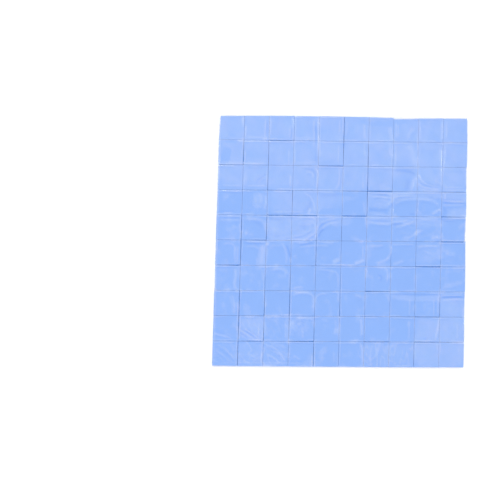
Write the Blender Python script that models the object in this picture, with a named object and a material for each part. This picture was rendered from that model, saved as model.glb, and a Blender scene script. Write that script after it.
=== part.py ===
"""Thermal pad sheet: ten by ten soft square pads, cut apart on a clear base film and under a clear cover film.

Metres, +Z up. The sheet lies flat, X across and +Y towards the far edge. The origin is in the middle of the
base film's underside. Rows are counted from the far edge and columns from the left edge.
"""
import math

import bmesh
import bpy

MM = 0.001

# Driving dimensions.
ROWS = 10
COLUMNS = 10
PAD_PITCH = 0.010
PAD_THICKNESS = 0.0010
CUT_WIDTH = 0.00006
WEB_THICKNESS = 0.0001
BASE_FILM_THICKNESS = 0.0001
COVER_FILM_THICKNESS = 0.00008
FILM_BORDER = 0.0001
LAYER_GAP = 0.0003
LEAN = math.radians(1.3)

# Cuts that have opened, in millimetres: (line, row or column that it passes, width at its start and at its end).
# Lines are counted from the left or the far edge, and a cut starts at its far or its left end.
OPEN_COLUMN_CUTS = (
    (1, 2, 0.10, 0.32), (1, 5, 0.18, 0.15), (1, 6, 0.22, 0.14), (1, 8, 0.22, 0.20),
    (1, 9, 0.25, 0.12), (1, 10, 0.20, 0.22), (2, 2, 0.11, 0.14), (2, 3, 0.12, 0.15),
    (2, 5, 0.13, 0.18), (2, 8, 0.11, 0.21), (2, 9, 0.07, 0.18), (3, 4, 0.16, 0.07),
    (3, 7, 0.06, 0.20), (3, 8, 0.17, 0.22), (3, 9, 0.15, 0.06), (4, 6, 0.08, 0.15),
    (4, 9, 0.07, 0.13), (4, 10, 0.09, 0.24), (5, 1, 0.17, 0.20), (5, 2, 0.20, 0.09),
    (5, 5, 0.11, 0.08), (5, 8, 0.07, 0.16), (6, 2, 0.06, 0.22), (6, 3, 0.13, 0.22),
    (6, 4, 0.17, 0.09), (8, 10, 0.08, 0.12), (9, 8, 0.06, 0.12),
)
OPEN_ROW_CUTS = (
    (1, 3, 0.26, 0.13), (2, 1, 0.14, 0.08), (2, 5, 0.16, 0.26), (3, 3, 0.13, 0.07),
    (3, 6, 0.11, 0.13), (3, 7, 0.36, 0.34), (3, 10, 0.11, 0.13), (4, 3, 0.24, 0.26),
    (4, 4, 0.28, 0.23), (4, 6, 0.25, 0.29), (4, 10, 0.24, 0.06), (5, 2, 0.06, 0.18),
    (5, 10, 0.26, 0.30), (6, 1, 0.09, 0.26), (6, 9, 0.17, 0.40), (7, 7, 0.23, 0.10),
    (8, 2, 0.07, 0.12), (8, 8, 0.12, 0.10), (8, 9, 0.16, 0.16), (9, 2, 0.10, 0.25),
    (9, 4, 0.15, 0.28), (9, 7, 0.22, 0.21), (9, 9, 0.22, 0.17), (9, 10, 0.13, 0.06),
)

# How far the outer pads stand back from the films' outline, in millimetres, at the start and the end of each.
LEFT_EDGE = (
    (0.46, 0.04), (0.02, 0.04), (0.14, 0.18), (0.18, 0.10), (0.02, 0.02),
    (0.14, 0.08), (0.12, 0.28), (0.01, 0.02), (0.02, 0.02), (0.03, 0.06),
)
RIGHT_EDGE = (
    (0.36, 0.12), (0.10, 0.12), (0.32, 0.28), (0.14, 0.12), (0.24, 0.58),
    (0.20, 0.08), (0.03, 0.02), (0.12, 0.18), (0.12, 0.04), (0.02, 0.06),
)
FAR_EDGE = (
    (0.40, 0.26), (0.26, 0.12), (0.12, 0.05), (0.12, 0.10), (0.02, 0.04),
    (0.08, 0.10), (0.12, 0.28), (0.88, 0.60), (0.42, 0.24), (0.38, 0.20),
)
NEAR_EDGE = (
    (0.36, 0.22), (0.22, 0.20), (0.18, 0.16), (0.12, 0.10), (0.10, 0.08),
    (0.14, 0.08), (0.06, 0.05), (0.04, 0.03), (0.02, 0.02), (0.08, 0.10),
)

HALF_WIDTH = COLUMNS * PAD_PITCH / 2
HALF_DEPTH = ROWS * PAD_PITCH / 2


def make_material(name, colour, roughness, alpha=1.0):
    """A plain Principled material."""
    material = bpy.data.materials.new(name)
    material.use_nodes = True
    shader = material.node_tree.nodes["Principled BSDF"]
    shader.inputs["Base Color"].default_value = (*colour, 1.0)
    shader.inputs["Roughness"].default_value = roughness
    shader.inputs["Metallic"].default_value = 0.0
    shader.inputs["Alpha"].default_value = alpha
    return material


def add_piece(name, bm, bottom, material, parent):
    """Make one closed piece of a bmesh whose underside is at 0, and lay it with its underside at bottom."""
    bmesh.ops.recalc_face_normals(bm, faces=bm.faces)
    mesh = bpy.data.meshes.new(name)
    bm.to_mesh(mesh)
    bm.free()
    mesh.materials.append(material)
    piece = bpy.data.objects.new(name, mesh)
    piece.location.z = bottom
    piece.parent = parent
    bpy.context.collection.objects.link(piece)
    return piece


def film(thickness):
    """A plain leaning slab of film, a little larger than the pads."""
    bm = bmesh.new()
    half_x = HALF_WIDTH + FILM_BORDER
    half_y = HALF_DEPTH + FILM_BORDER
    outline = []
    for side_x, side_y in ((-1, -1), (1, -1), (1, 1), (-1, 1)):
        y = side_y * half_y
        outline.append(bm.verts.new((side_x * half_x + y * math.tan(LEAN), y, 0.0)))
    underside = bm.faces.new(outline)
    top = bmesh.ops.extrude_face_region(bm, geom=[underside])
    raised = [item for item in top["geom"] if isinstance(item, bmesh.types.BMVert)]
    bmesh.ops.translate(bm, verts=raised, vec=(0.0, 0.0, thickness))
    return bm


def half_cut(open_cuts, edges, line, last_line, cell, end):
    """How far a pad's side stands back from its grid line, at the start (end 0) or the end (end 1) of the side."""
    if line == 0:
        return edges[0][cell % len(edges[0])][end] * MM
    if line == last_line:
        return edges[1][cell % len(edges[1])][end] * MM
    for cut_line, cut_cell, *widths in open_cuts:
        if (cut_line, cut_cell) == (line, cell + 1):
            return widths[end] * MM / 2
    return CUT_WIDTH / 2


def pad_corner(row, column, near, right):
    """One corner of one pad; near and right are 0 or 1."""
    aside = half_cut(OPEN_COLUMN_CUTS, (LEFT_EDGE, RIGHT_EDGE), column + right, COLUMNS, row, near)
    back = half_cut(OPEN_ROW_CUTS, (FAR_EDGE, NEAR_EDGE), row + near, ROWS, column, right)
    x = (column + right) * PAD_PITCH - HALF_WIDTH + (-aside if right else aside)
    y = HALF_DEPTH - (row + near) * PAD_PITCH + (back if near else -back)
    return x + y * math.tan(LEAN), y


def pads():
    """All the pads as one block, with the cuts between them sunk from its top face to a thin web."""
    bm = bmesh.new()
    down = 2 * ROWS
    across = 2 * COLUMNS
    levels = []
    for height in (0.0, WEB_THICKNESS, PAD_THICKNESS):
        level = []
        for r in range(down):
            corners = [pad_corner(r // 2, c // 2, r % 2, c % 2) for c in range(across)]
            level.append([bm.verts.new((x, y, height)) for x, y in corners])
        levels.append(level)
    under, web, top = levels

    for r in range(down - 1):
        for c in range(across - 1):
            ring = ((r, c), (r, c + 1), (r + 1, c + 1), (r + 1, c))
            bm.faces.new([under[i][j] for i, j in ring])
            if r % 2 or c % 2:
                bm.faces.new([web[i][j] for i, j in ring])
                continue
            bm.faces.new([top[i][j] for i, j in ring])
            for (i, j), (k, m) in zip(ring, ring[1:] + ring[:1]):
                bm.faces.new((web[i][j], web[k][m], top[k][m], top[i][j]))

    rim = [(0, c) for c in range(across)]
    rim += [(r, across - 1) for r in range(1, down)]
    rim += [(down - 1, c) for c in range(across - 2, -1, -1)]
    rim += [(r, 0) for r in range(down - 2, 0, -1)]
    for (i, j), (k, m) in zip(rim, rim[1:] + rim[:1]):
        bm.faces.new((under[i][j], under[k][m], web[k][m], web[i][j]))
    return bm


def build():
    for old in list(bpy.data.objects):
        bpy.data.objects.remove(old, do_unlink=True)

    film_material = make_material("clear_film", (0.80, 0.77, 1.0), 0.2, alpha=0.3)
    pad_material = make_material("blue_silicone", (0.30, 0.51, 1.0), 0.55)

    sheet = bpy.data.objects.new("thermal_pad_sheet", None)
    bpy.context.collection.objects.link(sheet)

    pads_bottom = BASE_FILM_THICKNESS + LAYER_GAP
    cover_bottom = pads_bottom + PAD_THICKNESS + LAYER_GAP
    add_piece("base_film", film(BASE_FILM_THICKNESS), 0.0, film_material, sheet)
    add_piece("pad_layer", pads(), pads_bottom, pad_material, sheet)
    add_piece("cover_film", film(COVER_FILM_THICKNESS), cover_bottom, film_material, sheet)


build()
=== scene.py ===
import math

import bmesh
import bpy
import numpy as np
from mathutils import Euler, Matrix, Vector, noise


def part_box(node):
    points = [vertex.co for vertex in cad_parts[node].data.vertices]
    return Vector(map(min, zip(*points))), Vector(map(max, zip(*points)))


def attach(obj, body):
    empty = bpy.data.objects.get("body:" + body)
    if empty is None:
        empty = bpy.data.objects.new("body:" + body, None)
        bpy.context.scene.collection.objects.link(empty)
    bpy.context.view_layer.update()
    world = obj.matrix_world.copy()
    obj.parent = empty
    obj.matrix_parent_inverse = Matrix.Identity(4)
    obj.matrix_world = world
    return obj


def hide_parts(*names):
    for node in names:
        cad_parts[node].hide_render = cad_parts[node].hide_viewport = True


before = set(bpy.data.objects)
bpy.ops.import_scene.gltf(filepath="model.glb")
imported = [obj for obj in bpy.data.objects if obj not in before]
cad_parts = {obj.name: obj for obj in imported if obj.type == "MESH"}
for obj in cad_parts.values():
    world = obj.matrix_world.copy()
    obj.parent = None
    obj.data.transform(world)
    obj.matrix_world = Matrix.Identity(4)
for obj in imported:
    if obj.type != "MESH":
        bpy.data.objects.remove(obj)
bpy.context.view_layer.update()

# The pads: ten rows of ten squares of soft silicone, filled with mineral powder and cast as one sheet. A
# blade has cut them apart down to the base film, so their sides are plain and only their upper edges are a
# little rounded. They stand where the frame's pad layer stands, and reach down to the film under them.

PADS_ACROSS = 10
EDGE_RADIUS = 0.00005
FLAT_MARGIN = 0.00030
UNEVENNESS = 0.00003
PAD_CLEARANCE = 0.00001
MERGE = 1e-6
FACING_UP = 0.9
FLAT_ANGLE = math.radians(1)
ROUNDED_ANGLE = math.radians(50)
SILICONE_BLUES = (0.162, 0.304, 0.66, 1.0), (0.178, 0.325, 0.695, 1.0)

pads_low, pads_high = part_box("pad_layer")
base_low, base_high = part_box("base_film")
PITCH = (pads_high.y - pads_low.y) / PADS_ACROSS


def footprints(solid, top, floor):
    """A four-sided outline for each pad, read from the tops of the frame's pad layer, laid on the film."""
    outlines = bmesh.new()
    outlines.from_mesh(solid.data)
    bmesh.ops.remove_doubles(outlines, verts=outlines.verts, dist=MERGE)
    other = [face for face in outlines.faces
             if face.normal.z < FACING_UP or face.calc_center_median().z < top - MERGE]
    bmesh.ops.delete(outlines, geom=other, context="FACES")
    bmesh.ops.dissolve_limit(outlines, angle_limit=FLAT_ANGLE, verts=outlines.verts, edges=outlines.edges)
    for corner in outlines.verts:
        corner.co.z = floor
    mesh = bpy.data.meshes.new("pad_footprints")
    outlines.to_mesh(mesh)
    outlines.free()
    return mesh


class Finish:
    """A shader node's output, which takes part in sums as a number would."""

    def __init__(self, tree, socket=None):
        self.tree = tree
        self.socket = socket

    def node(self, kind, settings=None, inputs=None, output=0):
        """Adds a node: its settings first, then the values or the links of its sockets."""
        made = self.tree.nodes.new(kind)
        for name, value in (settings or {}).items():
            setattr(made, name, value)
        for name, value in (inputs or {}).items():
            if isinstance(value, Finish):
                self.tree.links.new(value.socket, made.inputs[name])
            else:
                made.inputs[name].default_value = value
        return Finish(self.tree, made.outputs[output])

    def sum(self, operation, first, second):
        return self.node("ShaderNodeMath", {"operation": operation}, {0: first, 1: second})

    def __add__(self, other):
        return self.sum("ADD", self, other)

    def __sub__(self, other):
        return self.sum("SUBTRACT", self, other)

    def __rsub__(self, other):
        return self.sum("SUBTRACT", other, self)

    def __mul__(self, other):
        return self.sum("MULTIPLY", self, other)

    __radd__ = __add__
    __rmul__ = __mul__

    def blend(self, low, high):
        """The colour between two colours that this value picks."""
        # Sockets 6 and 7 and output 2 are the Mix node's colour ones.
        return self.node("ShaderNodeMix", {"data_type": "RGBA"}, {0: self, 6: low, 7: high}, 2)

    def feed(self, shader, name):
        self.tree.links.new(self.socket, shader.inputs[name])


def new_finish(name):
    """An empty material, the start of its sums and its Principled shader."""
    material = bpy.data.materials.new(name)
    material.use_nodes = True
    return material, Finish(material.node_tree), material.node_tree.nodes["Principled BSDF"]


def blue_silicone():
    """Filled silicone: an even, soft blue with a faint cloudiness and a fine powdery grain."""
    material, start, shader = new_finish("blue_silicone")
    place = start.node("ShaderNodeTexCoord", output="Object")
    cloud = start.node("ShaderNodeTexNoise", {"noise_dimensions": "3D"},
                       {"Vector": place, "Scale": 160.0, "Detail": 3.0, "Roughness": 0.5})
    grain = start.node("ShaderNodeTexNoise", {"noise_dimensions": "3D"},
                       {"Vector": place, "Scale": 3500.0, "Detail": 2.0, "Roughness": 0.6})
    cloud.blend(*SILICONE_BLUES).feed(shader, "Base Color")
    (0.42 + 0.16 * grain).feed(shader, "Roughness")
    relief = start.node("ShaderNodeBump", {}, {"Strength": 0.25, "Distance": 0.00002, "Height": grain})
    relief.feed(shader, "Normal")
    shader.inputs["IOR"].default_value = 1.41
    shader.inputs["Coat Weight"].default_value = 0.35
    shader.inputs["Coat Roughness"].default_value = 0.25
    return material


def pad_maker(silicone):
    """The Geometry Nodes tree that raises a pad with rounded upper edges on each of the given outlines."""
    tree = bpy.data.node_groups.new("cut_pads", "GeometryNodeTree")
    panel = tree.interface
    panel.new_socket("Footprints", in_out="INPUT", socket_type="NodeSocketGeometry")
    for name in ("Thickness", "Edge Radius", "Flat Margin", "Pad Side", "Unevenness"):
        panel.new_socket(name, in_out="INPUT", socket_type="NodeSocketFloat")
    panel.new_socket("Seed", in_out="INPUT", socket_type="NodeSocketInt")
    panel.new_socket("Pads", in_out="OUTPUT", socket_type="NodeSocketGeometry")
    given = tree.nodes.new("NodeGroupInput").outputs

    def link(source, target):
        tree.links.new(source, target)

    def math_node(operation, first, second):
        node = tree.nodes.new("ShaderNodeMath")
        node.operation = operation
        for slot, value in zip(node.inputs, (first, second)):
            if isinstance(value, (int, float)):
                slot.default_value = value
            else:
                link(value, slot)
        return node.outputs[0]

    def raise_faces(mesh, top, height, inset):
        """Pulls the top faces up by a height and draws them in by an inset from each side."""
        extrude = tree.nodes.new("GeometryNodeExtrudeMesh")
        extrude.mode = "FACES"
        extrude.inputs["Individual"].default_value = True
        link(mesh, extrude.inputs["Mesh"])
        link(height, extrude.inputs["Offset Scale"])
        if top is not None:
            link(top, extrude.inputs["Selection"])
        scale = tree.nodes.new("GeometryNodeScaleElements")
        scale.domain = "FACE"
        share = math_node("DIVIDE", math_node("MULTIPLY", inset, 2.0), given["Pad Side"])
        link(extrude.outputs["Mesh"], scale.inputs["Geometry"])
        link(extrude.outputs["Top"], scale.inputs["Selection"])
        link(math_node("SUBTRACT", 1.0, share), scale.inputs["Scale"])
        return scale.outputs["Geometry"], extrude.outputs["Top"]

    uneven = tree.nodes.new("FunctionNodeRandomValue")
    uneven.data_type = "FLOAT"
    link(math_node("MULTIPLY", given["Unevenness"], -1.0), uneven.inputs[2])
    uneven.inputs[3].default_value = 0.0
    link(given["Seed"], uneven.inputs["Seed"])

    # The rounded edge is a quarter circle in two steps, which part at 45 degrees.
    radius = given["Edge Radius"]
    shorter = math_node("MULTIPLY", radius, 1.0 - math.sqrt(0.5))
    longer = math_node("MULTIPLY", radius, math.sqrt(0.5))
    wall = math_node("ADD", math_node("SUBTRACT", given["Thickness"], radius), uneven.outputs[1])
    mesh, top = raise_faces(given["Footprints"], None, wall, 0.0)
    mesh, top = raise_faces(mesh, top, longer, shorter)
    mesh, top = raise_faces(mesh, top, shorter, longer)
    nothing = math_node("MULTIPLY", radius, 0.0)
    mesh, top = raise_faces(mesh, top, nothing, given["Flat Margin"])

    flip = tree.nodes.new("GeometryNodeFlipFaces")
    join = tree.nodes.new("GeometryNodeJoinGeometry")
    merge = tree.nodes.new("GeometryNodeMergeByDistance")
    merge.inputs["Distance"].default_value = MERGE
    realize = tree.nodes.new("GeometryNodeRealizeInstances")
    paint = tree.nodes.new("GeometryNodeSetMaterial")
    paint.inputs["Material"].default_value = silicone
    link(given["Footprints"], flip.inputs["Mesh"])
    link(mesh, join.inputs["Geometry"])
    link(flip.outputs["Mesh"], join.inputs["Geometry"])
    link(join.outputs["Geometry"], merge.inputs["Geometry"])
    link(merge.outputs["Geometry"], realize.inputs["Geometry"])
    link(realize.outputs["Geometry"], paint.inputs["Geometry"])
    out = tree.nodes.new("NodeGroupOutput")
    link(paint.outputs["Geometry"], out.inputs["Pads"])
    return tree


def grown(name, start_mesh, tree, sizes):
    """A plain mesh object made by running one Geometry Nodes tree on a start mesh."""
    seedling = bpy.data.objects.new(name + "_start", start_mesh)
    bpy.context.scene.collection.objects.link(seedling)
    modifier = seedling.modifiers.new("grow", "NODES")
    modifier.node_group = tree
    for item in tree.interface.items_tree:
        if item.item_type == "SOCKET" and item.in_out == "INPUT" and item.name in sizes:
            modifier[item.identifier] = sizes[item.name]
    bpy.context.view_layer.update()
    evaluated = seedling.evaluated_get(bpy.context.evaluated_depsgraph_get())
    mesh = bpy.data.meshes.new_from_object(evaluated)
    bpy.data.objects.remove(seedling)
    piece = bpy.data.objects.new(name, mesh)
    bpy.context.scene.collection.objects.link(piece)
    return piece


pad_outlines = footprints(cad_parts["pad_layer"], pads_high.z, base_high.z + PAD_CLEARANCE)
PAD_SIZES = {
    "Thickness": pads_high.z - base_high.z - PAD_CLEARANCE,
    "Edge Radius": EDGE_RADIUS,
    "Flat Margin": FLAT_MARGIN,
    "Pad Side": PITCH,
    "Unevenness": UNEVENNESS,
    "Seed": 4,
}
pads = grown("silicone_pads", pad_outlines, pad_maker(blue_silicone()), PAD_SIZES)
pads.data.shade_smooth()
pads.data.set_sharp_from_angle(angle=ROUNDED_ANGLE)
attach(pads, "root")
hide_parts("pad_layer")

# The base film: one clear, stiff release film under all the pads, cut to the outline that they first had. It
# is flat, so its shape is the frame's slab, welded into one closed sheet, faintly blue and a little glossy.

BASE_SIDE = base_high.y - base_low.y
BASE_TINTS = (0.78, 0.80, 0.98, 1.0), (0.84, 0.85, 1.0, 1.0)


def clear_release_film():
    """Stiff clear film: nearly unseen, with a faint smear here and there."""
    material, start, shader = new_finish("clear_release_film")
    place = start.node("ShaderNodeTexCoord", output="Object")
    smear = start.node("ShaderNodeTexNoise", {"noise_dimensions": "3D"},
                       {"Vector": place, "Scale": 90.0, "Detail": 3.0, "Roughness": 0.55})
    smear.blend(*BASE_TINTS).feed(shader, "Base Color")
    (0.12 + 0.14 * smear).feed(shader, "Alpha")
    (0.14 + 0.14 * smear).feed(shader, "Roughness")
    shader.inputs["IOR"].default_value = 1.8
    return material


def welded(name, solid):
    """A copy of a frame solid as one closed mesh. The frame's own is loose triangles."""
    shell = bmesh.new()
    shell.from_mesh(solid.data)
    bmesh.ops.remove_doubles(shell, verts=shell.verts, dist=MERGE)
    bmesh.ops.dissolve_limit(shell, angle_limit=FLAT_ANGLE, verts=shell.verts, edges=shell.edges)
    mesh = bpy.data.meshes.new(name)
    shell.to_mesh(mesh)
    shell.free()
    piece = bpy.data.objects.new(name, mesh)
    bpy.context.scene.collection.objects.link(piece)
    return piece


release_film = welded("release_film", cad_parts["base_film"])
release_film.data.materials.append(clear_release_film())
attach(release_film, "root")
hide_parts("base_film")

# The cover film: a thin, limp, clear film laid over the pads by hand and pressed down. It clings to some
# pads, which look deeper blue there, and stands off the others, where the air under it looks milky. It tents
# over the cuts and has creases, folds and bubbles. The light that these catch is painted on as pale
# highlights, and their far sides, the open cuts and the sheet's outer edge are painted darker, as painted
# shade.

MM = 0.001
LEAN = (base_high.x - base_low.x) / BASE_SIDE - 1
cover_low, cover_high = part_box("cover_film")
FILM_SIDE = cover_high.y - cover_low.y
FILM_CELLS_A_PAD = 30
FILM_CELL_CROWDING = 0.4
FILM_CLEARANCE = 0.00002
CREASE_STEPS = 6
# Pale tints for the film's milkiness and its painted highlights, and the blue of its painted shade.
MILK_AND_HIGHLIGHT_TINTS = (0.75, 0.92, 1.0, 1.0), (0.92, 0.86, 1.0, 1.0)
SHADE_BLUE = (0.0, 0.23, 0.85, 1.0)

# The film's relief in millimetres: its lift where it stands off, its sag over a cut, the tents beside a cut,
# small wrinkles, fine and broad waves, and the most that it may rise.
FULL_LIFT = 0.10
SAG = 0.05
SAG_REACH = 0.20
TENT_RISE = 0.06
TENT_PLACE = 0.50
TENT_REACH = 0.18
CRUMPLE_RISE = 0.05
FINE_WAVES = 0.012
BROAD_WAVES = 0.030
HIGHEST = 0.36
# A cut is closed up to the first width here, in millimetres, and fully open when it is wider by the second.
CLOSED_CUT = 0.03
OPENING_RANGE = 0.28
# How much of the pads the film hides where it clings, where it is lifted, on a fold, where it carries a
# painted highlight, and over a closed cut, where a pale veil of painted light covers the cut's shade.
CLINGING_HAZE = 0.02
LIFTED_HAZE = 0.105
FOLD_HIGHLIGHT = 0.26
VEIL_LIGHT = 0.20
# The deepest painted shade, its shares on a dark crease, on a fold's far side and over an open cut, and how
# much shade is painted along the sheet's outer edge.
DEEPEST_SHADE = 0.8
DUSK_SHADE = 0.5
SLOPE_SHADE = 0.15
CUT_SHADE = 0.72
EDGE_SHADE = 0.25

# Places where the film stands off, in pads from the sheet's far left corner: (across, down, half width, half
# depth, how much of its full lift).
LIFTED = (
    (5.0, 1.2, 7.0, 1.80, 1.0),
    (3.4, 3.38, 1.40, 0.50, 0.9),
    (4.6, 3.42, 0.40, 0.25, 0.6),
    (3.0, 4.50, 1.05, 0.50, 1.0),
    (4.6, 4.18, 0.70, 0.22, 0.8),
    (6.4, 3.35, 0.45, 0.30, 0.8),
    (7.9, 3.15, 1.10, 0.15, 0.9),
    (9.6, 3.15, 0.70, 0.25, 0.9),
    (9.7, 3.78, 0.42, 0.24, 1.0),
    (6.5, 4.17, 0.60, 0.16, 0.7),
    (8.1, 4.18, 1.00, 0.18, 0.7),
    (1.70, 3.45, 0.25, 0.32, 0.7),
    (1.84, 5.60, 0.20, 0.42, 0.9),
    (1.27, 7.75, 0.14, 0.30, 0.6),
    (8.0, 7.27, 1.02, 0.14, 0.75),
    (9.6, 7.65, 0.58, 0.40, 1.0),
    (9.1, 9.0, 1.12, 1.05, 1.1),
    (1.5, 8.50, 0.50, 0.46, 1.0),
    (1.9, 9.55, 1.10, 0.45, 0.5),
    (3.4, 8.40, 0.45, 0.30, 0.4),
    (7.0, 9.55, 1.00, 0.45, 0.55),
    (8.5, 5.45, 0.45, 0.35, 0.4),
)

# Places where it clings after all, in the same measures.
CLINGING = (
    (0.22, 1.65, 0.18, 0.30, 0.7),
    (0.40, 1.05, 0.30, 0.12, 0.5),
    (0.42, 0.83, 0.14, 0.07, 0.4),
    (7.45, 2.65, 0.40, 0.35, 0.35),
    (6.60, 0.22, 0.90, 0.12, 0.4),
    (4.60, 3.85, 0.50, 0.15, 0.8),
)
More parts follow.
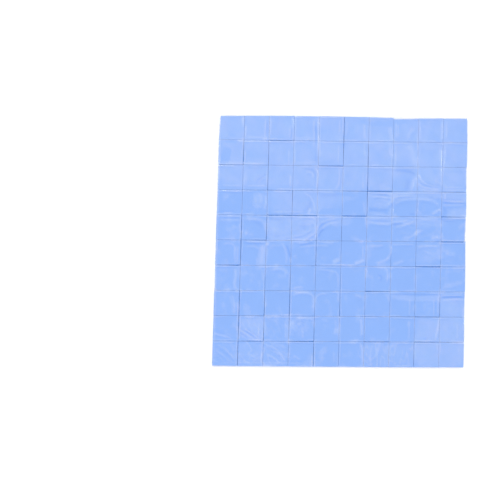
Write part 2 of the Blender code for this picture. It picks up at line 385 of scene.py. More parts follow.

# Creases, in the same places, with the light they catch painted on as highlights and their dark sides as
# painted shade: (height and half width in millimetres, painted highlight or, below 0, painted shade, points
# along the line).
CREASES = (
    # The far three rows: double lines where the film bridges the cuts between columns.
    (0.10, 0.35, 0.45, ((0.92, 0.08), (0.92, 0.30), (0.94, 0.48))),
    (0.08, 0.30, 0.54, ((1.07, 0.42), (1.06, 0.90))),
    (0.00, 0.25, -0.24, ((1.04, 0.10), (1.05, 0.38))),
    (0.08, 0.35, 0.51, ((1.85, 0.18), (1.83, 0.50), (1.84, 0.95))),
    (0.00, 0.35, -0.16, ((1.90, 0.22), (1.91, 0.80))),
    (0.06, 0.30, 0.54, ((2.06, 0.15), (2.05, 0.80))),
    (0.10, 0.35, 0.50, ((2.93, 0.08), (2.93, 0.30), (2.92, 0.50))),
    (0.00, 0.30, -0.32, ((2.89, 0.48), (2.88, 0.90))),
    (0.06, 0.30, 0.54, ((2.83, 0.50), (2.83, 0.85))),
    (0.06, 0.25, 0.54, ((2.80, 1.38), (2.81, 1.95))),
    (0.06, 0.30, 0.54, ((3.05, 1.35), (3.05, 1.95))),
    (0.00, 0.35, -0.16, ((2.86, 1.36), (3.00, 1.36))),
    (0.08, 0.35, 0.51, ((3.79, 0.15), (3.77, 0.42), (3.80, 0.80), (3.80, 1.35))),
    (0.00, 0.30, -0.32, ((3.86, 0.35), (3.88, 0.80), (3.89, 1.15))),
    (0.10, 0.35, 0.45, ((3.97, 0.10), (3.96, 0.55), (3.98, 1.00), (3.97, 1.45))),
    (0.00, 0.40, -0.21, ((3.90, 1.48), (3.90, 1.88))),
    (0.06, 0.30, 0.45, ((4.81, 0.15), (4.82, 0.65))),
    (0.06, 0.25, 0.36, ((5.12, 0.20), (5.10, 0.80))),
    (0.08, 0.45, 0.40, ((5.83, 0.25), (5.81, 0.60), (5.88, 0.95))),
    (0.10, 0.70, 0.50, ((6.84, 0.40), (6.86, 0.65), (6.92, 0.95))),
    (0.06, 0.25, 0.72, ((7.09, 0.25), (7.10, 0.85))),
    (0.06, 0.25, 0.54, ((7.18, 0.30), (7.18, 0.80))),
    (0.10, 0.80, 0.35, ((7.80, 0.42), (7.66, 0.62), (7.58, 0.88))),
    (0.06, 0.50, 0.30, ((8.02, 0.10), (8.05, 0.95))),
    (0.06, 1.20, 0.18, ((8.28, 0.30), (8.40, 0.70))),
    (0.08, 0.35, 0.32, ((8.92, 0.12), (8.93, 0.55), (8.92, 0.98))),
    (0.04, 0.30, 0.45, ((9.13, 0.20), (9.13, 0.85))),
    (0.04, 0.30, 0.40, ((1.10, 0.89), (1.90, 0.88))),
    (0.08, 0.35, 0.72, ((1.74, 0.95), (1.94, 0.94))),
    (0.04, 0.30, 0.40, ((3.06, 0.89), (3.72, 0.88))),
    (0.04, 0.30, 0.40, ((0.10, 1.88), (0.98, 1.90))),
    (0.04, 0.30, 0.45, ((1.10, 1.92), (1.92, 1.93))),
    (0.06, 0.60, 0.25, ((3.08, 1.86), (3.50, 1.90), (3.92, 1.84))),
    (0.08, 0.90, 0.30, ((4.05, 1.38), (4.09, 1.60))),
    (0.06, 0.30, 0.45, ((4.80, 1.15), (4.79, 1.90))),
    (0.08, 0.45, 0.40, ((5.86, 1.08), (5.83, 1.30), (5.88, 1.60))),
    (0.08, 0.60, 0.40, ((6.84, 1.08), (6.86, 1.30), (6.90, 1.60))),
    (0.06, 0.25, 0.55, ((7.10, 1.15), (7.11, 1.95))),
    (0.12, 1.20, 0.36, ((7.56, 1.12), (7.74, 1.28), (7.80, 1.55), (7.86, 1.95))),
    (0.10, 0.45, 0.32, ((8.88, 1.25), (8.90, 1.60), (8.93, 1.95))),
    (0.06, 0.35, 0.35, ((9.07, 1.10), (9.07, 1.90))),
    (0.00, 0.60, -0.12, ((9.12, 1.08), (9.88, 1.09))),
    # The third row: a bubble's edge, a thin slanting crease painted light between two painted dark lines,
    # and the first big fold.
    (0.00, 0.60, -0.16, ((1.12, 2.07), (1.40, 2.12), (1.90, 2.07))),
    (0.06, 0.50, 0.30, ((1.09, 2.25), (1.12, 2.55), (1.11, 2.85))),
    (0.00, 0.25, -0.42, ((1.56, 2.62), (1.74, 2.49), (1.94, 2.33))),
    (0.06, 0.25, 0.45, ((1.62, 2.68), (1.80, 2.52), (1.95, 2.44))),
    (0.00, 0.25, -0.29, ((1.52, 2.76), (1.70, 2.64), (1.86, 2.58))),
    (0.04, 0.30, 0.45, ((0.18, 2.82), (0.92, 2.84))),
    (0.04, 0.30, 0.45, ((1.20, 2.83), (1.92, 2.82))),
    (0.06, 0.30, 0.54, ((2.90, 2.38), (2.89, 2.86))),
    (0.06, 0.80, 0.22, ((3.14, 2.55), (3.20, 2.75))),
    (0.00, 0.35, -0.26, ((3.42, 2.13), (3.76, 2.17), (3.88, 2.32), (3.90, 2.60), (3.88, 2.85))),
    (0.10, 0.40, 0.58, ((3.86, 2.10), (3.96, 2.22), (3.98, 2.55), (3.95, 2.93))),
    (0.06, 0.40, 0.43, ((3.50, 2.24), (3.74, 2.29), (3.81, 2.50))),
    (0.08, 0.40, 0.51, ((4.84, 2.10), (4.87, 2.45), (4.82, 2.78), (4.68, 2.93))),
    (0.00, 0.30, -0.29, ((4.91, 2.20), (4.91, 2.70))),
    (0.06, 0.30, 0.45, ((5.80, 2.25), (5.82, 2.92))),
    (0.00, 1.00, -0.12, ((6.52, 2.58), (6.60, 2.70))),
    (0.08, 0.60, 0.30, ((6.72, 2.90), (6.92, 2.86))),
    (0.00, 0.50, -0.16, ((6.62, 2.14), (7.00, 2.13))),
    (0.00, 0.60, -0.30, ((7.04, 2.15), (7.40, 2.16), (7.70, 2.20), (7.92, 2.32))),
    (0.00, 0.80, -0.20, ((7.66, 2.50), (7.60, 2.70), (7.52, 2.95))),
    (0.18, 0.60, 0.50, ((7.95, 2.42), (7.84, 2.58), (7.78, 2.75), (7.77, 2.97))),
    (0.14, 0.40, 0.30, ((8.03, 2.36), (8.14, 2.52), (8.28, 2.66), (8.54, 2.76), (8.94, 2.81))),
    (0.00, 0.30, -0.28, ((8.12, 2.62), (8.30, 2.72), (8.60, 2.79), (8.94, 2.83))),
    (0.00, 0.30, -0.24, ((8.22, 2.56), (8.50, 2.69), (8.94, 2.73))),
    (0.14, 0.40, 0.60, ((7.98, 2.64), (8.16, 2.78), (8.48, 2.86), (8.94, 2.89))),
    (0.10, 0.35, 0.50, ((8.06, 2.86), (8.40, 2.95), (8.90, 2.96))),
    (0.10, 0.45, 0.50, ((8.05, 2.34), (8.10, 2.46))),
    (0.08, 0.70, 0.35, ((8.93, 2.06), (8.90, 2.36))),
    (0.06, 0.30, 0.45, ((9.08, 2.81), (9.90, 2.82))),
    (0.06, 0.30, 0.45, ((9.08, 2.92), (9.90, 2.91))),
    (0.00, 0.50, -0.12, ((9.14, 2.17), (9.84, 2.19))),
    # The fourth row: blotches on the left, the long oval on the right.
    (0.08, 0.30, 0.75, ((0.22, 3.04), (0.60, 3.05), (0.96, 3.05))),
    (0.06, 0.30, 0.75, ((0.28, 3.91), (0.60, 3.92))),
    (0.00, 0.30, -0.19, ((0.10, 3.85), (0.70, 3.86))),
    (0.08, 0.45, 0.50, ((1.88, 3.08), (2.00, 3.05))),
    (0.10, 0.70, 0.40, ((1.66, 3.14), (1.74, 3.32), (1.72, 3.52))),
    (0.10, 0.45, 0.50, ((1.94, 3.20), (1.93, 3.50), (1.89, 3.80))),
    (0.08, 0.90, 0.25, ((1.52, 3.22), (1.56, 3.50), (1.66, 3.72))),
    (0.06, 0.40, 0.43, ((3.46, 3.10), (3.70, 3.24), (3.84, 3.48), (3.92, 3.90))),
    (0.00, 0.80, -0.22, ((3.74, 3.44), (3.70, 3.58), (3.60, 3.72), (3.48, 3.86))),
    (0.08, 0.45, 0.80, ((3.72, 3.72), (3.66, 3.95))),
    (0.06, 0.30, 0.45, ((2.24, 3.86), (3.50, 3.86))),
    (0.00, 0.25, -0.24, ((2.20, 3.80), (3.50, 3.80))),
    (0.00, 0.25, -0.20, ((2.20, 3.92), (3.40, 3.92))),
    (0.00, 0.60, -0.25, ((4.10, 3.18), (4.84, 3.16))),
    (0.06, 0.35, 0.43, ((5.85, 3.40), (5.90, 3.90))),
    (0.12, 0.45, 0.50, ((6.80, 3.10), (7.04, 3.16), (7.22, 3.12))),
    (0.08, 0.30, 0.70, ((6.10, 3.20), (6.60, 3.22), (7.00, 3.26), (7.30, 3.18), (7.95, 3.17))),
    (0.00, 0.30, -0.22, ((6.10, 3.13), (6.80, 3.15))),
    (0.00, 0.30, -0.22, ((7.20, 3.24), (7.90, 3.23))),
    (0.08, 0.30, 0.50, ((6.10, 3.08), (7.90, 3.09))),
    (0.14, 0.55, 0.75, ((6.84, 3.56), (6.93, 3.42), (7.10, 3.33))),
    (0.16, 0.60, 0.45, ((7.06, 3.56), (7.20, 3.43), (7.42, 3.34), (7.95, 3.30), (8.50, 3.33), (8.74, 3.43),
                        (8.86, 3.58))),
    (0.00, 0.40, -0.18, ((8.40, 3.22), (8.95, 3.28))),
    (0.14, 0.55, 1.00, ((8.62, 3.90), (8.76, 3.80), (8.94, 3.71))),
    (0.10, 0.50, 0.40, ((6.06, 3.88), (6.40, 3.88), (6.74, 3.92))),
    (0.00, 0.60, -0.20, ((6.02, 3.74), (6.40, 3.76), (6.86, 3.74))),
    (0.00, 0.40, -0.23, ((7.72, 3.91), (7.96, 3.87))),
    (0.00, 0.30, -0.40, ((9.02, 3.31), (9.45, 3.31), (9.92, 3.32))),
    (0.00, 0.35, -0.45, ((9.00, 3.42), (9.45, 3.43), (9.92, 3.45))),
    (0.10, 0.30, 0.72, ((9.04, 3.37), (9.92, 3.38))),
    (0.10, 0.35, 0.58, ((9.06, 3.53), (9.40, 3.54), (9.92, 3.50))),
    (0.06, 0.25, 0.63, ((9.12, 3.06), (9.13, 3.30))),
    (0.00, 0.80, -0.14, ((9.08, 3.60), (9.14, 3.78), (9.06, 3.92))),
    # The fifth row: a swirl of arcs in the middle, the lens on the right.
    (0.06, 0.35, 0.65, ((0.02, 4.05), (0.60, 4.06), (0.96, 4.04))),
    (0.08, 0.60, 0.40, ((0.14, 4.20), (0.60, 4.20), (0.92, 4.21))),
    (0.00, 0.30, -0.26, ((0.26, 4.12), (0.90, 4.12))),
    (0.10, 0.60, 0.45, ((1.06, 4.15), (1.40, 4.16), (1.78, 4.20), (1.94, 4.44), (1.93, 4.62))),
    (0.00, 0.50, -0.16, ((1.56, 4.30), (1.74, 4.38), (1.78, 4.52))),
    (0.08, 0.40, 0.65, ((1.20, 4.68), (1.21, 4.80))),
    (0.06, 0.80, 0.30, ((1.28, 4.80), (1.48, 4.76))),
    (0.00, 0.35, -0.29, ((2.10, 4.15), (2.40, 4.17), (2.74, 4.15))),
    (0.00, 0.50, -0.14, ((2.12, 4.72), (2.30, 4.80), (2.58, 4.84))),
    (0.08, 0.80, 0.10, ((2.22, 4.42), (2.46, 4.62), (2.84, 4.74))),
    (0.10, 0.35, 0.65, ((3.18, 4.07), (3.52, 4.08), (3.80, 4.08), (3.94, 4.14))),
    (0.00, 0.25, -0.29, ((3.44, 4.13), (3.74, 4.13))),
    (0.00, 0.50, -0.22, ((3.54, 4.34), (3.50, 4.46), (3.48, 4.58))),
    (0.00, 0.45, -0.22, ((3.78, 4.34), (3.88, 4.48))),
    (0.06, 0.35, 0.15, ((3.46, 4.28), (3.66, 4.32), (3.74, 4.52), (3.62, 4.66))),
    (0.08, 0.30, 0.27, ((3.84, 4.22), (3.92, 4.40), (3.90, 4.56))),
    (0.12, 0.40, 0.38, ((4.86, 4.10), (4.50, 4.15), (4.20, 4.26), (4.03, 4.42), (3.99, 4.66))),
    (0.12, 0.35, 0.45, ((4.00, 4.62), (3.84, 4.76), (3.62, 4.90), (3.48, 5.00))),
    (0.00, 0.30, -0.35, ((4.92, 4.17), (4.50, 4.21), (4.26, 4.32), (4.12, 4.45), (4.06, 4.62))),
    (0.12, 0.35, 0.58, ((4.86, 4.24), (4.54, 4.29), (4.32, 4.41), (4.18, 4.56))),
    (0.00, 0.40, -0.45, ((4.28, 4.52), (4.16, 4.64), (4.07, 4.86))),
    (0.00, 0.30, -0.30, ((3.88, 4.56), (3.66, 4.72), (3.44, 4.84), (3.10, 4.90), (2.70, 4.92))),
    (0.08, 0.30, 0.20, ((3.84, 4.52), (3.62, 4.66), (3.34, 4.78), (3.00, 4.84))),
    (0.00, 0.30, -0.30, ((3.98, 4.72), (3.82, 4.86), (3.62, 4.98))),
    (0.10, 0.35, 0.58, ((4.00, 4.80), (3.92, 4.92), (3.76, 4.99))),
    (0.06, 0.60, 0.25, ((4.20, 4.44), (4.62, 4.36), (4.84, 4.44))),
    (0.10, 0.60, 0.50, ((6.05, 4.24), (6.50, 4.29), (6.96, 4.30))),
    (0.00, 0.35, -0.23, ((6.08, 4.17), (6.50, 4.20), (6.92, 4.20))),
    (0.06, 0.45, 0.30, ((6.04, 4.10), (6.92, 4.10))),
    (0.00, 0.40, -0.45, ((7.01, 4.32), (7.16, 4.31), (7.42, 4.27))),
    (0.10, 0.50, 0.45, ((7.02, 4.22), (7.40, 4.20), (7.66, 4.14))),
    (0.14, 0.50, 0.50, ((7.12, 4.44), (7.40, 4.39), (7.64, 4.29), (7.90, 4.17))),
    (0.08, 0.70, 0.35, ((8.12, 4.12), (8.50, 4.10), (8.90, 4.10))),
    (0.14, 0.55, 0.45, ((7.66, 4.88), (7.84, 4.76), (8.04, 4.64), (8.26, 4.54))),
    (0.10, 0.55, 0.45, ((8.00, 4.40), (8.08, 4.36))),
    (0.08, 0.50, 0.35, ((8.26, 4.42), (8.46, 4.38))),
    (0.12, 0.80, 0.90, ((8.62, 4.89), (8.74, 4.82), (8.90, 4.80))),
    (0.08, 0.35, 0.51, ((8.98, 4.26), (8.98, 4.52))),
    (0.00, 0.25, -0.40, ((8.98, 4.08), (9.50, 4.08))),
    (0.00, 0.25, -0.35, ((8.98, 4.16), (9.50, 4.16))),
    (0.06, 0.25, 0.45, ((9.00, 4.12), (9.50, 4.12))),
    # The sixth row: rounded pockets on the left, bright glints above the next cut.
    (0.08, 0.50, 0.40, ((0.30, 5.16), (0.56, 5.13), (0.74, 5.24), (0.79, 5.48))),
    (0.08, 0.35, 0.58, ((0.78, 5.30), (0.77, 5.60), (0.80, 5.92))),
    (0.08, 0.35, 0.58, ((0.88, 5.24), (0.87, 5.92))),
    (0.08, 0.35, 0.75, ((1.20, 5.05), (1.60, 5.06), (1.96, 5.08))),
    (0.00, 0.30, -0.22, ((1.12, 5.13), (1.50, 5.14), (1.90, 5.13))),
    (0.08, 0.45, 0.35, ((1.20, 5.25), (1.52, 5.25), (1.72, 5.34))),
    (0.10, 0.80, 0.35, ((1.84, 5.22), (1.87, 5.50), (1.83, 5.95))),
    (0.12, 0.70, 1.60, ((2.00, 5.10), (2.10, 5.18))),
    (0.06, 0.50, 0.30, ((2.20, 5.20), (2.56, 5.21))),
    (0.12, 0.50, 0.45, ((2.58, 5.08), (2.74, 5.28), (2.82, 5.58), (2.83, 5.92))),
    (0.00, 0.30, -0.42, ((2.80, 5.18), (2.90, 5.42), (2.97, 5.66))),
    (0.06, 0.90, 0.22, ((2.98, 5.06), (3.08, 5.34))),
    (0.00, 0.35, -0.32, ((3.34, 5.18), (3.60, 5.14), (3.90, 5.08))),
    (0.08, 0.30, 0.63, ((3.28, 5.10), (3.70, 5.06))),
    (0.08, 0.35, 0.50, ((3.34, 5.26), (3.70, 5.21), (4.10, 5.19), (4.50, 5.21))),
    (0.08, 0.60, 0.35, ((4.30, 5.09), (4.70, 5.10))),
    (0.18, 0.75, 1.20, ((4.70, 5.87), (4.80, 5.80), (4.92, 5.75))),
    (0.18, 0.65, 1.20, ((5.55, 5.89), (5.74, 5.84), (5.92, 5.74))),
    (0.06, 0.30, 0.75, ((5.87, 5.20), (5.87, 5.62))),
    (0.10, 0.45, 0.60, ((5.74, 5.03), (5.88, 5.02))),
    (0.08, 0.45, 0.50, ((6.04, 5.19), (6.40, 5.19), (6.68, 5.16))),
    (0.12, 0.45, 0.45, ((6.88, 5.10), (6.98, 5.28), (6.96, 5.52), (6.84, 5.70))),
    (0.14, 0.60, 0.60, ((6.42, 5.88), (6.62, 5.82), (6.84, 5.72), (6.92, 5.62))),
    (0.10, 0.60, 0.60, ((7.10, 5.92), (7.32, 5.84), (7.50, 5.76))),
    (0.06, 0.30, 0.54, ((7.04, 5.13), (7.92, 5.12))),
    (0.08, 0.45, 0.55, ((8.04, 5.21), (8.40, 5.17), (8.92, 5.17))),
    (0.06, 0.45, 0.30, ((8.28, 5.36), (8.58, 5.46), (8.84, 5.40), (8.92, 5.30))),
    (0.06, 1.10, 0.20, ((8.30, 5.62), (8.74, 5.66))),
    (0.08, 1.00, 0.35, ((9.20, 5.44), (9.58, 5.50))),
    # The seventh row.
    (0.08, 0.60, 0.80, ((0.80, 6.12), (0.83, 6.42), (0.79, 6.78), (0.86, 6.95))),
    (0.06, 0.80, 0.22, ((0.14, 6.18), (0.50, 6.24))),
    (0.06, 0.90, 0.22, ((1.38, 6.30), (1.56, 6.46))),
    (0.08, 0.45, 0.40, ((1.76, 6.04), (1.87, 6.26), (1.92, 6.60))),
    (0.06, 0.60, 0.25, ((1.76, 6.58), (1.80, 6.88))),
    (0.10, 0.65, 0.60, ((2.22, 6.16), (2.52, 6.12), (2.76, 6.18), (2.88, 6.36))),
    (0.06, 0.90, 0.25, ((2.30, 6.88), (2.56, 6.76))),
    (0.08, 0.40, 0.72, ((3.12, 6.92), (3.28, 6.86), (3.52, 6.86))),
    (0.08, 0.40, 0.45, ((4.04, 6.13), (4.46, 6.17), (4.78, 6.24), (4.90, 6.42), (4.92, 6.94))),
    (0.06, 0.30, 0.63, ((4.20, 5.96), (5.50, 5.96))),
    (0.04, 0.60, 0.10, ((6.26, 6.20), (6.28, 6.90))),
    (0.10, 0.45, 0.40, ((6.52, 6.45), (6.58, 6.48))),
    (0.00, 0.30, -0.32, ((6.46, 6.38), (6.58, 6.36), (6.66, 6.46), (6.58, 6.56))),
    (0.10, 0.45, 0.45, ((6.70, 6.04), (6.84, 6.12), (6.88, 6.36), (6.86, 6.66))),
    (0.06, 0.35, 0.72, ((7.03, 6.02), (7.06, 6.14))),
    (0.10, 0.90, 0.40, ((9.10, 6.86), (9.42, 6.74), (9.92, 6.60))),
    # The eighth row.
    (0.06, 0.35, 0.60, ((0.70, 7.16), (0.79, 7.50), (0.84, 7.95))),
    (0.06, 0.35, 0.36, ((0.62, 7.20), (0.72, 7.60), (0.78, 7.92))),
    (0.08, 0.45, 0.65, ((3.10, 7.17), (3.32, 7.10), (3.60, 7.08), (3.84, 7.14), (3.94, 7.32), (3.93, 7.90))),
    (0.08, 0.40, 0.55, ((4.03, 7.52), (4.05, 7.26), (4.22, 7.12), (4.50, 7.09))),
    (0.06, 0.35, 0.65, ((4.92, 7.05), (4.93, 7.45))),
    (0.08, 0.60, 0.55, ((5.60, 7.14), (5.86, 7.22))),
    (0.08, 0.50, 0.40, ((6.80, 7.10), (6.90, 7.22), (6.96, 7.40))),
    (0.10, 0.90, 0.12, ((7.06, 7.20), (7.40, 7.25), (7.74, 7.31), (7.98, 7.32))),
    (0.06, 0.80, 0.08, ((8.06, 7.28), (8.50, 7.27), (8.90, 7.26))),
    (0.00, 0.30, -0.32, ((7.06, 7.12), (8.00, 7.11), (8.96, 7.12))),
    (0.08, 0.30, 0.72, ((9.08, 7.14), (9.94, 7.12))),
    (0.00, 0.40, -0.50, ((9.04, 7.23), (9.40, 7.22), (9.94, 7.21))),
    (0.08, 0.40, 0.51, ((9.06, 7.32), (9.60, 7.29), (9.94, 7.30))),
    (0.06, 0.30, 0.63, ((8.76, 7.30), (8.77, 7.95))),
    (0.06, 0.30, 0.63, ((8.92, 7.20), (8.93, 7.90))),
    (0.08, 0.90, 0.25, ((8.52, 7.92), (8.64, 7.60))),
    (0.06, 0.30, 0.54, ((7.79, 7.30), (7.80, 7.92))),
    # The ninth row: slanting creases with painted dark lines on a milky pad, a bubble, and two long ridges.
    (0.00, 0.25, -0.42, ((1.08, 8.50), (1.36, 8.66), (1.70, 8.88))),
    (0.00, 0.25, -0.36, ((1.04, 8.62), (1.24, 8.78), (1.42, 8.92))),
    (0.00, 0.25, -0.32, ((1.30, 8.50), (1.58, 8.68), (1.82, 8.86))),
    (0.08, 0.25, 0.50, ((1.06, 8.56), (1.34, 8.73), (1.56, 8.88))),
    (0.08, 0.25, 0.50, ((1.20, 8.50), (1.50, 8.66), (1.78, 8.87))),
    (0.06, 0.30, 0.40, ((1.80, 8.30), (1.81, 8.90))),
    (0.10, 0.55, 0.45, ((2.14, 8.06), (2.24, 8.10))),
    (0.06, 0.45, 0.35, ((2.08, 8.36), (2.14, 8.82))),
    (0.06, 0.90, 0.22, ((2.44, 8.16), (2.56, 8.40))),
    (0.06, 0.35, 0.51, ((2.86, 8.16), (2.88, 8.90))),
    (0.08, 1.00, 0.28, ((3.12, 8.22), (3.16, 8.56))),
    (0.00, 0.40, -0.26, ((3.24, 8.36), (3.30, 8.22), (3.42, 8.20), (3.56, 8.26), (3.58, 8.40))),
    (0.08, 0.45, 0.60, ((3.36, 8.36), (3.40, 8.28))),
    (0.06, 0.50, 0.45, ((3.54, 8.50), (3.56, 8.88))),
    (0.08, 0.35, 0.72, ((3.36, 8.08), (3.70, 8.09), (3.98, 8.12))),
    (0.06, 0.60, 0.30, ((4.30, 8.10), (4.56, 8.22))),
    (0.06, 0.45, 0.35, ((4.82, 8.14), (4.88, 8.40), (4.84, 8.70))),
    (0.12, 0.55, 0.85, ((5.84, 8.08), (5.89, 8.38), (5.90, 8.78))),
    (0.06, 0.30, 0.54, ((7.78, 8.16), (7.80, 8.85))),
    (0.00, 0.28, -1.20, ((8.42, 8.86), (8.45, 8.87))),
    (0.08, 0.40, 0.65, ((8.97, 8.08), (8.94, 8.40), (8.86, 8.88))),
    (0.04, 0.30, 0.25, ((9.72, 8.20), (9.73, 8.90))),
    # The nearest row: slanting streaks on the left, soft mottling on the right.
    (0.08, 0.35, 0.58, ((0.04, 8.70), (0.30, 8.77), (0.70, 8.88))),
    (0.00, 0.40, -0.18, ((0.10, 8.62), (0.50, 8.72))),
    (0.06, 0.40, 0.28, ((0.16, 9.10), (0.56, 9.38), (0.90, 9.72))),
    (0.06, 0.40, 0.24, ((0.08, 9.32), (0.44, 9.56), (0.72, 9.84))),
    (0.00, 0.40, -0.08, ((0.14, 9.22), (0.50, 9.46), (0.80, 9.74))),
    (0.06, 0.60, 0.25, ((1.42, 9.74), (1.60, 9.56), (1.84, 9.50))),
    (0.08, 0.40, 0.40, ((1.93, 9.40), (1.92, 9.82))),
    (0.08, 0.40, 0.32, ((2.08, 9.12), (2.44, 9.28), (2.68, 9.48), (2.86, 9.80))),
    (0.06, 0.35, 0.28, ((2.26, 9.08), (2.60, 9.14), (2.94, 9.26))),
    (0.06, 0.35, 0.28, ((2.10, 9.50), (2.40, 9.64), (2.64, 9.84))),
    (0.00, 0.35, -0.12, ((2.10, 9.22), (2.44, 9.40), (2.66, 9.62))),
    (0.06, 0.40, 0.43, ((3.18, 9.58), (3.34, 9.62), (3.46, 9.74))),
    (0.06, 0.60, 0.30, ((4.80, 9.40), (4.84, 9.84))),
    (0.12, 0.50, 0.80, ((5.86, 9.08), (5.94, 9.40), (5.96, 9.86))),
    (0.06, 0.60, 0.30, ((6.10, 9.14), (6.18, 9.30))),
    (0.06, 0.60, 0.30, ((6.84, 9.50), (6.88, 9.26), (7.00, 9.18))),
    (0.00, 0.50, -0.16, ((6.94, 9.44), (6.96, 9.62))),
    (0.06, 0.40, 0.43, ((8.92, 9.06), (8.94, 9.34))),
    (0.04, 0.30, 0.20, ((9.80, 9.10), (9.81, 9.86))),
    (0.04, 0.25, 0.28, ((0.30, 9.86), (2.00, 9.85), (3.90, 9.86))),
    (0.00, 0.25, -0.14, ((0.30, 9.80), (2.00, 9.79), (3.90, 9.80))),
    # Where the light catches the film's left edge.
    (0.06, 0.30, 0.50, ((0.04, 0.10), (0.05, 5.00), (0.06, 9.90))),
)

# Places full of small wrinkles, whose light is painted on as highlights: (across, down, half width, half
# depth, strength, direction in degrees).
CRUMPLED = (
    (3.2, 4.55, 1.0, 0.45, 0.25, -25),
    (8.2, 4.60, 0.9, 0.40, 0.25, -35),
    (8.6, 2.70, 0.6, 0.30, 0.15, 15),
    (6.4, 3.35, 0.4, 0.30, 0.20, -15),
    (9.5, 3.50, 0.5, 0.45, 0.15, 0),
    (1.6, 3.45, 0.4, 0.45, 0.25, 80),
    (2.4, 8.50, 1.5, 0.45, 0.22, 40),
    (2.0, 9.50, 1.1, 0.45, 0.55, 35),
    (0.5, 9.50, 0.5, 0.45, 0.25, 40),
    (7.0, 9.50, 1.2, 0.45, 0.55, 80),
    (0.5, 8.70, 0.5, 0.40, 0.15, 30),
    (1.2, 6.50, 1.2, 0.50, 0.12, 70),
    (8.6, 5.50, 0.9, 0.40, 0.18, -10),
)

# Closed cuts where a pale veil, painted light, covers the shade in the gap or, below 0, leaves the cut bare:
# (across, down, half width, half depth, strength).
PAINTED_VEILS = (
    (2.0, 0.5, 0.15, 0.45, 0.8),
    (2.0, 3.5, 0.15, 0.45, 0.7),
    (3.0, 1.5, 0.15, 0.45, 0.5),
    (4.0, 3.5, 0.15, 0.45, 1.0),
    (5.0, 3.0, 0.15, 0.95, 0.7),
    (6.0, 6.5, 0.15, 0.45, 0.9),
    (6.0, 8.5, 0.15, 0.45, 0.7),
    (7.0, 4.5, 0.15, 0.45, 1.0),
    (7.0, 6.5, 0.15, 0.45, 0.6),
    (8.0, 2.0, 0.15, 0.95, 0.5),
    (8.0, 6.5, 0.15, 0.45, 0.8),
    (9.0, 3.5, 0.15, 0.45, 0.6),
    (9.0, 6.5, 0.15, 0.45, 0.7),
    (0.5, 1.0, 0.45, 0.15, 0.7),
    (2.5, 5.0, 0.45, 0.15, 0.8),
    (4.5, 5.0, 0.45, 0.15, 0.9),
    (6.5, 4.0, 0.45, 0.15, 0.6),
    (8.5, 4.0, 0.45, 0.15, 0.7),
    (8.5, 5.0, 0.45, 0.15, -0.3),
    (1.5, 7.0, 0.45, 0.15, 0.5),
    (8.0, 7.0, 0.95, 0.15, 0.6),
    (4.5, 8.0, 0.45, 0.15, 0.6),
    (5.5, 6.0, 0.45, 0.15, 0.5),
    (2.5, 9.5, 0.65, 0.45, -1.0),
    (5.0, 9.5, 0.15, 0.45, -0.8),
    (8.0, 7.5, 0.15, 0.45, -1.0),
    (8.0, 9.5, 0.15, 0.45, -1.0),
    (9.0, 5.5, 0.15, 0.45, -0.8),
    (9.0, 8.5, 0.15, 0.45, -0.7),
    (2.5, 7.0, 0.45, 0.15, -0.9),
    (9.5, 8.0, 0.45, 0.15, -0.8),
)


def soft_step(value):
    """0 below 0, 1 above 1, and smooth between."""
    held = np.clip(value, 0.0, 1.0)
    return held * held * (3.0 - 2.0 * held)


def ripples(across, down, size, seed):
    """Smooth noise from -1 to 1 over the film, with waves about this many pads long."""
    places = zip((across / size).ravel(), (down / size).ravel())
    wave = [noise.noise(Vector((x, y, seed * 7.3))) for x, y in places]
    return np.array(wave).reshape(across.shape) * 1.6


def patch(across, down, shape):
    """A soft-edged oval patch, 1 in its middle, with an uneven edge."""
    x, y, half_x, half_y, strength = shape
    reach = ((np.abs(across - x) / half_x) ** 4 + (np.abs(down - y) / half_y) ** 4) ** 0.25
    return strength * soft_step((1.15 - reach) / 0.3)


def crumples(across, down, shape, seed):
    """A field of small irregular ridges that mostly run one way."""
    turn = math.radians(shape[5])
    along = across * math.cos(turn) + down * math.sin(turn)
    aside = down * math.cos(turn) - across * math.sin(turn)
    bend = 0.10 * ripples(across, down, 0.5, seed)
    ridge = np.exp(-(ripples(0.35 * along + bend, aside + bend, 0.17, seed + 1) / 0.14) ** 2)
    return patch(across + bend, down + bend, shape[:5]) * ridge


def smooth_line(points):
    """Points on a smooth curve through these points."""
    ends = [2 * Vector(points[0]) - Vector(points[1])] + [Vector(p) for p in points]
    ends.append(2 * Vector(points[-1]) - Vector(points[-2]))
    line = []
    for a, b, c, d in zip(ends, ends[1:], ends[2:], ends[3:]):
        for step in range(CREASE_STEPS):
            t = step / CREASE_STEPS
            line.append(0.5 * (2 * b + (c - a) * t + (2 * a - 5 * b + 4 * c - d) * t ** 2
                               + (3 * b - a - 3 * c + d) * t ** 3))
    line.append(Vector(points[-1]))
    return line


def crease(across, down, half_width, points):
    """How strongly the film is raised by one crease: 1 along its line, and fading out at its ends."""
    line = smooth_line(points)
    best = np.full(across.shape, 1e9)
    along = np.zeros(across.shape)
    for number, (start, end) in enumerate(zip(line, line[1:])):
        run = end - start
        t = np.clip(((across - start.x) * run.x + (down - start.y) * run.y) / run.length_squared, 0.0, 1.0)
        off = (across - start.x - t * run.x) ** 2 + (down - start.y - t * run.y) ** 2
        nearer = off < best
        best = np.where(nearer, off, best)
        along = np.where(nearer, (number + t) / (len(line) - 1), along)
    spread = half_width * MM / PITCH
    ends = soft_step(0.3 + 5.0 * np.minimum(along, 1.0 - along))
    return np.exp(-best / spread ** 2) * ends


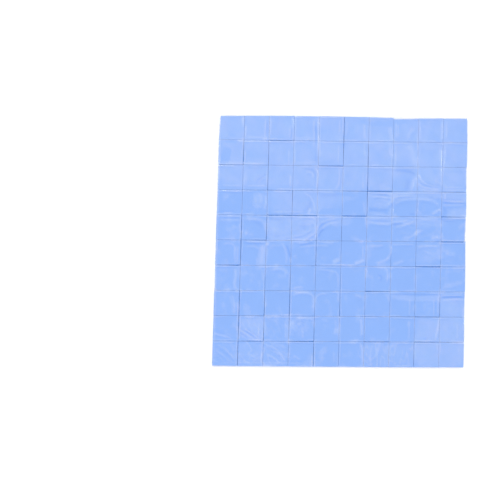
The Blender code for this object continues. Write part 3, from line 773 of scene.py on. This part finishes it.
def cut_widths(outlines):
    """Widths in millimetres of the cuts between columns and between rows, at both ends of each pad."""
    corners = np.zeros((PADS_ACROSS, PADS_ACROSS, 2, 2, 2))
    for face in outlines.polygons:
        places = [outlines.vertices[number].co for number in face.vertices]
        places = np.array([((co.x - co.y * LEAN) / PITCH, -co.y / PITCH) for co in places]) + PADS_ACROSS / 2
        column, row = np.floor(places.mean(axis=0)).astype(int)
        for across, down in places:
            corners[row, column, int(down > row + 0.5), int(across > column + 0.5)] = across, down
    between = np.zeros((2, PADS_ACROSS + 1, PADS_ACROSS, 2))
    between[0, 1:-1] = np.swapaxes(corners[:, 1:, :, 0, 0] - corners[:, :-1, :, 1, 0], 0, 1)
    between[1, 1:-1] = corners[1:, :, 0, :, 1] - corners[:-1, :, 1, :, 1]
    return between * PITCH / MM


def film_relief(across, down, widths):
    """The film's height over the pads in metres, how much it covers them, and how much of that is painted
    shade.
    """
    lifted = np.zeros(across.shape)
    wander = 0.10 * ripples(across, down, 0.9, 1), 0.10 * ripples(across, down, 0.9, 2)
    for shape in LIFTED:
        lifted = np.maximum(lifted, patch(across + wander[0], down + wander[1], shape))
    for shape in CLINGING:
        lifted = lifted * (1.0 - patch(across + wander[0], down + wander[1], shape))

    # On a pad that it clings to, the film still stands off in small uneven patches, most beside the cuts.
    cloud = 0.6 * ripples(across, down, 0.40, 8) + 0.4 * ripples(across, down, 0.17, 9)
    edge = np.minimum(np.abs(across - np.round(across)), np.abs(down - np.round(down)))
    loose = soft_step((cloud - 0.12 + 0.35 * np.exp(-(edge / 0.06) ** 2)) / 0.95)
    milky = np.maximum(lifted * (0.88 + 0.40 * cloud), 0.9 * loose)
    height = FULL_LIFT * milky
    milk_and_highlight = LIFTED_HAZE * milky

    # Beside each cut the film tents over the pads' edges, with a painted highlight on each tent. Over an
    # open cut it is clear and painted dark, a painted shade in the gap, and a pale veil of painted light
    # covers the shade of many a closed one, most of all in the near half of the sheet.
    highlit_folds = np.zeros(across.shape)
    painted_shade = np.zeros(across.shape)
    open_cut_shade = np.zeros(across.shape)
    placed = sum(patch(across, down, shape) for shape in PAINTED_VEILS)
    # Kind 0 is the cuts between columns, and kind 1 those between rows.
    for kind, place, other in ((0, across, down), (1, down, across)):
        line = np.clip(np.round(place), 0, PADS_ACROSS).astype(int)
        pad = np.clip(np.floor(other), 0, PADS_ACROSS - 1).astype(int)
        share = np.clip(other - pad, 0.0, 1.0)
        width = widths[kind, line, pad, 0] * (1.0 - share) + widths[kind, line, pad, 1] * share
        off = (place - line) * PITCH / MM
        wave = 0.12 * ripples(line * 1.7, other, 0.45, 10 + kind)
        opening = soft_step((width - CLOSED_CUT) / OPENING_RANGE)
        # A pale veil of painted light that covers the shade in a closed cut.
        painted_veil = soft_step(0.1 * (down - 2.5) + 0.8 * ripples(line * 1.7, other, 0.7, 30 + kind))
        painted_veil = np.clip(painted_veil + placed, 0.0, 1.0) * (1.0 - opening) ** 4
        milk_and_highlight += VEIL_LIGHT * painted_veil * np.exp(-(off / 0.12) ** 2)
        # Painted highlights on the tents to each side of the cut.
        for side, usual, seed in ((1.0, 0.05 + 0.45 * kind, 3), (-1.0, 0.10, 5)):
            strength = soft_step(usual + 0.6 * opening + 1.3 * ripples(line * 1.7, other, 0.8, seed + kind))
            strength *= 0.9 if kind else 0.6 + 0.5 * opening
            highlit_folds += strength * np.exp(-((side * off - TENT_PLACE - wave) / TENT_REACH) ** 2)
        # Over an open cut the film is clear of haze and painted dark, a painted shade in the gap.
        shaded_gap = opening * np.exp(-(off / (0.08 + 0.38 * width)) ** 2)
        open_cut_shade = np.maximum(open_cut_shade, shaded_gap)
        outer = (line == 0) | (line == PADS_ACROSS)
        # A painted shade along the sheet's outer edge.
        painted_shade += np.where(outer, EDGE_SHADE * np.exp(-(off / 0.25) ** 2), 0.0)
        height -= SAG * np.exp(-(off / SAG_REACH) ** 2)
    height += TENT_RISE * highlit_folds

    # Each crease lifts the film and carries a painted highlight or, below 0, a painted shade.
    for rise, half_width, highlight_or_shade, points in CREASES:
        fold = crease(across, down, half_width, points)
        height += rise * fold
        highlit_folds += max(highlight_or_shade, 0.0) * fold
        painted_shade += max(-highlight_or_shade, 0.0) * fold
    # Small wrinkles that lift the film and carry painted highlights.
    for number, shape in enumerate(CRUMPLED):
        ridges = crumples(across, down, shape, 20 + 2 * number)
        height += CRUMPLE_RISE * ridges
        highlit_folds += ridges
    highlit_folds = 0.85 * np.tanh(highlit_folds)
    height += FINE_WAVES * ripples(across, down, 0.22, 6) * (0.4 + milky)
    height += BROAD_WAVES * ripples(across, down, 0.7, 7) * milky
    # The film's milkiness over air, its painted veils and the painted highlights on its folds.
    milk_and_highlight = np.clip((CLINGING_HAZE + milk_and_highlight + FOLD_HIGHLIGHT * highlit_folds) * (1.0 - open_cut_shade), 0.0, 1.0)
    # A painted shade on the side of each fold away from the lamps, besides those of the creases, edge and
    # open cuts.
    far_side_shade = np.roll(highlit_folds, (2, 1), axis=(0, 1)) - highlit_folds
    shade = DEEPEST_SHADE * np.maximum(DUSK_SHADE * painted_shade + SLOPE_SHADE * far_side_shade, CUT_SHADE * open_cut_shade)
    shade = np.clip(shade, 0.0, 1.0)
    cover = milk_and_highlight + shade * (1.0 - milk_and_highlight)
    return np.clip(height, 0.0, HIGHEST) * MM, cover, shade / np.maximum(cover, 0.001)


def laid_film(widths):
    """The cover film as one fine net of faces over the pads, with its haze and its painted highlights and
    shade kept at each point.
    """
    cells = FILM_CELLS_A_PAD * PADS_ACROSS
    border = (FILM_SIDE / PITCH - PADS_ACROSS) / 2
    steps = np.linspace(0.0, PADS_ACROSS, cells + 1)
    steps -= FILM_CELL_CROWDING * np.sin(2 * math.pi * steps) / (2 * math.pi)
    steps[0], steps[-1] = -border, PADS_ACROSS + border
    across, down = np.meshgrid(steps, steps)
    height, cover, shade = film_relief(across, down, widths)
    y = (PADS_ACROSS / 2 - down) * PITCH
    x = (across - PADS_ACROSS / 2) * PITCH + y * LEAN
    z = pads_high.z + FILM_CLEARANCE + height
    points = np.stack((x, y, z), axis=-1).reshape(-1, 3)
    corner = np.arange((cells + 1) ** 2).reshape(cells + 1, cells + 1)
    faces = np.stack((corner[:-1, :-1], corner[1:, :-1], corner[1:, 1:], corner[:-1, 1:]), axis=-1)
    mesh = bpy.data.meshes.new("wrinkled_film")
    mesh.from_pydata(points.tolist(), [], faces.reshape(-1, 4).tolist())
    for name, values in (("cover", cover), ("shade", shade)):
        kept = mesh.attributes.new(name, "FLOAT", "POINT")
        kept.data.foreach_set("value", values.ravel().astype(np.float32))
    mesh.shade_smooth()
    return mesh


def clear_cover_film():
    """Limp clear film: hardly seen where it clings, milky over air, painted highlights on its folds, painted
    shade behind them.
    """
    material, start, shader = new_finish("clear_cover_film")
    place = start.node("ShaderNodeTexCoord", output="Object")
    cover = start.node("ShaderNodeAttribute", {"attribute_name": "cover"}, output="Fac")
    shade = start.node("ShaderNodeAttribute", {"attribute_name": "shade"}, output="Fac")
    blush = start.node("ShaderNodeTexNoise", {"noise_dimensions": "3D"},
                       {"Vector": place, "Scale": 210.0, "Detail": 2.0, "Roughness": 0.5})
    # Pale for milkiness and painted highlights, blue where shade is painted.
    shade.blend(blush.blend(*MILK_AND_HIGHLIGHT_TINTS), SHADE_BLUE).feed(shader, "Base Color")
    cover.feed(shader, "Alpha")
    (0.10 + 0.12 * blush).feed(shader, "Roughness")
    shader.inputs["IOR"].default_value = 2.2
    return material


cover_film = bpy.data.objects.new("wrinkled_film", laid_film(cut_widths(pad_outlines)))
bpy.context.scene.collection.objects.link(cover_film)
cover_film.data.materials.append(clear_cover_film())
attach(cover_film, "root")
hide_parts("cover_film")

# The table under the sheet, the studio light round it and the camera over it. The table is plain and nearly
# white. Three large soft lamps stand round it, with their middles 35 to 40 degrees off the vertical, so that
# the film's slopes mirror them and its flat places don't.

FLOOR_SIZE = 4.0
FLOOR_LEVEL = -0.00002
TABLE_WHITE = (0.92, 0.92, 0.92, 1.0)
SKY_WHITE = (1.0, 1.0, 1.0, 1.0)
SKY_STRENGTH = 0.86
SHEET_MIDDLE = Vector((0.0, 0.0, pads_high.z))
LAMPS = (
    # Direction in degrees from +X, degrees above the table, distance, side and power in watts.
    (120, 55, 0.65, 0.30, 1.25),
    (20, 50, 0.70, 0.30, 0.90),
    (250, 55, 0.65, 0.30, 1.20),
)

table = bpy.data.meshes.new("table")
half = FLOOR_SIZE / 2
corners = [(-half, -half), (half, -half), (half, half), (-half, half)]
table.from_pydata([(x, y, FLOOR_LEVEL) for x, y in corners], [], [(0, 1, 2, 3)])
table_top = bpy.data.objects.new("table", table)
bpy.context.scene.collection.objects.link(table_top)
white, _, white_shader = new_finish("pale_table")
white_shader.inputs["Base Color"].default_value = TABLE_WHITE
white_shader.inputs["Roughness"].default_value = 0.9
table.materials.append(white)

for direction, height, distance, side, power in LAMPS:
    lamp = bpy.data.lights.new("soft_lamp", "AREA")
    lamp.shape = "SQUARE"
    lamp.size = side
    lamp.energy = power
    holder = bpy.data.objects.new("soft_lamp", lamp)
    turn = Euler((0.0, math.radians(90 - height), math.radians(direction)))
    holder.location = SHEET_MIDDLE + turn.to_matrix() @ Vector((0.0, 0.0, distance))
    holder.rotation_euler = turn
    bpy.context.scene.collection.objects.link(holder)

world = bpy.data.worlds.new("studio")
bpy.context.scene.world = world
world.use_nodes = True
sky = world.node_tree.nodes["Background"]
sky.inputs["Color"].default_value = SKY_WHITE
sky.inputs["Strength"].default_value = SKY_STRENGTH

# The camera looks down on the table from a little left of the sheet, as in the photo, which puts the sheet
# right of the middle. The turn is the small tilt that the photo's lines show.
CAMERA_AIM = Vector((-0.03883, -0.00158, pads_high.z))
CAMERA_TURN = Euler((math.radians(3.27), math.radians(-2.29), math.radians(0.39)))
CAMERA_DISTANCE = 0.4566
CAMERA_LENS = 84.84

camera = bpy.data.objects.new("camera", bpy.data.cameras.new("camera"))
camera.data.lens = CAMERA_LENS
camera.data.sensor_width = 36.0
camera.data.clip_start = 0.01
camera.location = CAMERA_AIM + CAMERA_TURN.to_matrix() @ Vector((0.0, 0.0, CAMERA_DISTANCE))
camera.rotation_euler = CAMERA_TURN
bpy.context.scene.collection.objects.link(camera)
bpy.context.scene.camera = camera
bpy.context.scene.view_settings.view_transform = "Standard"
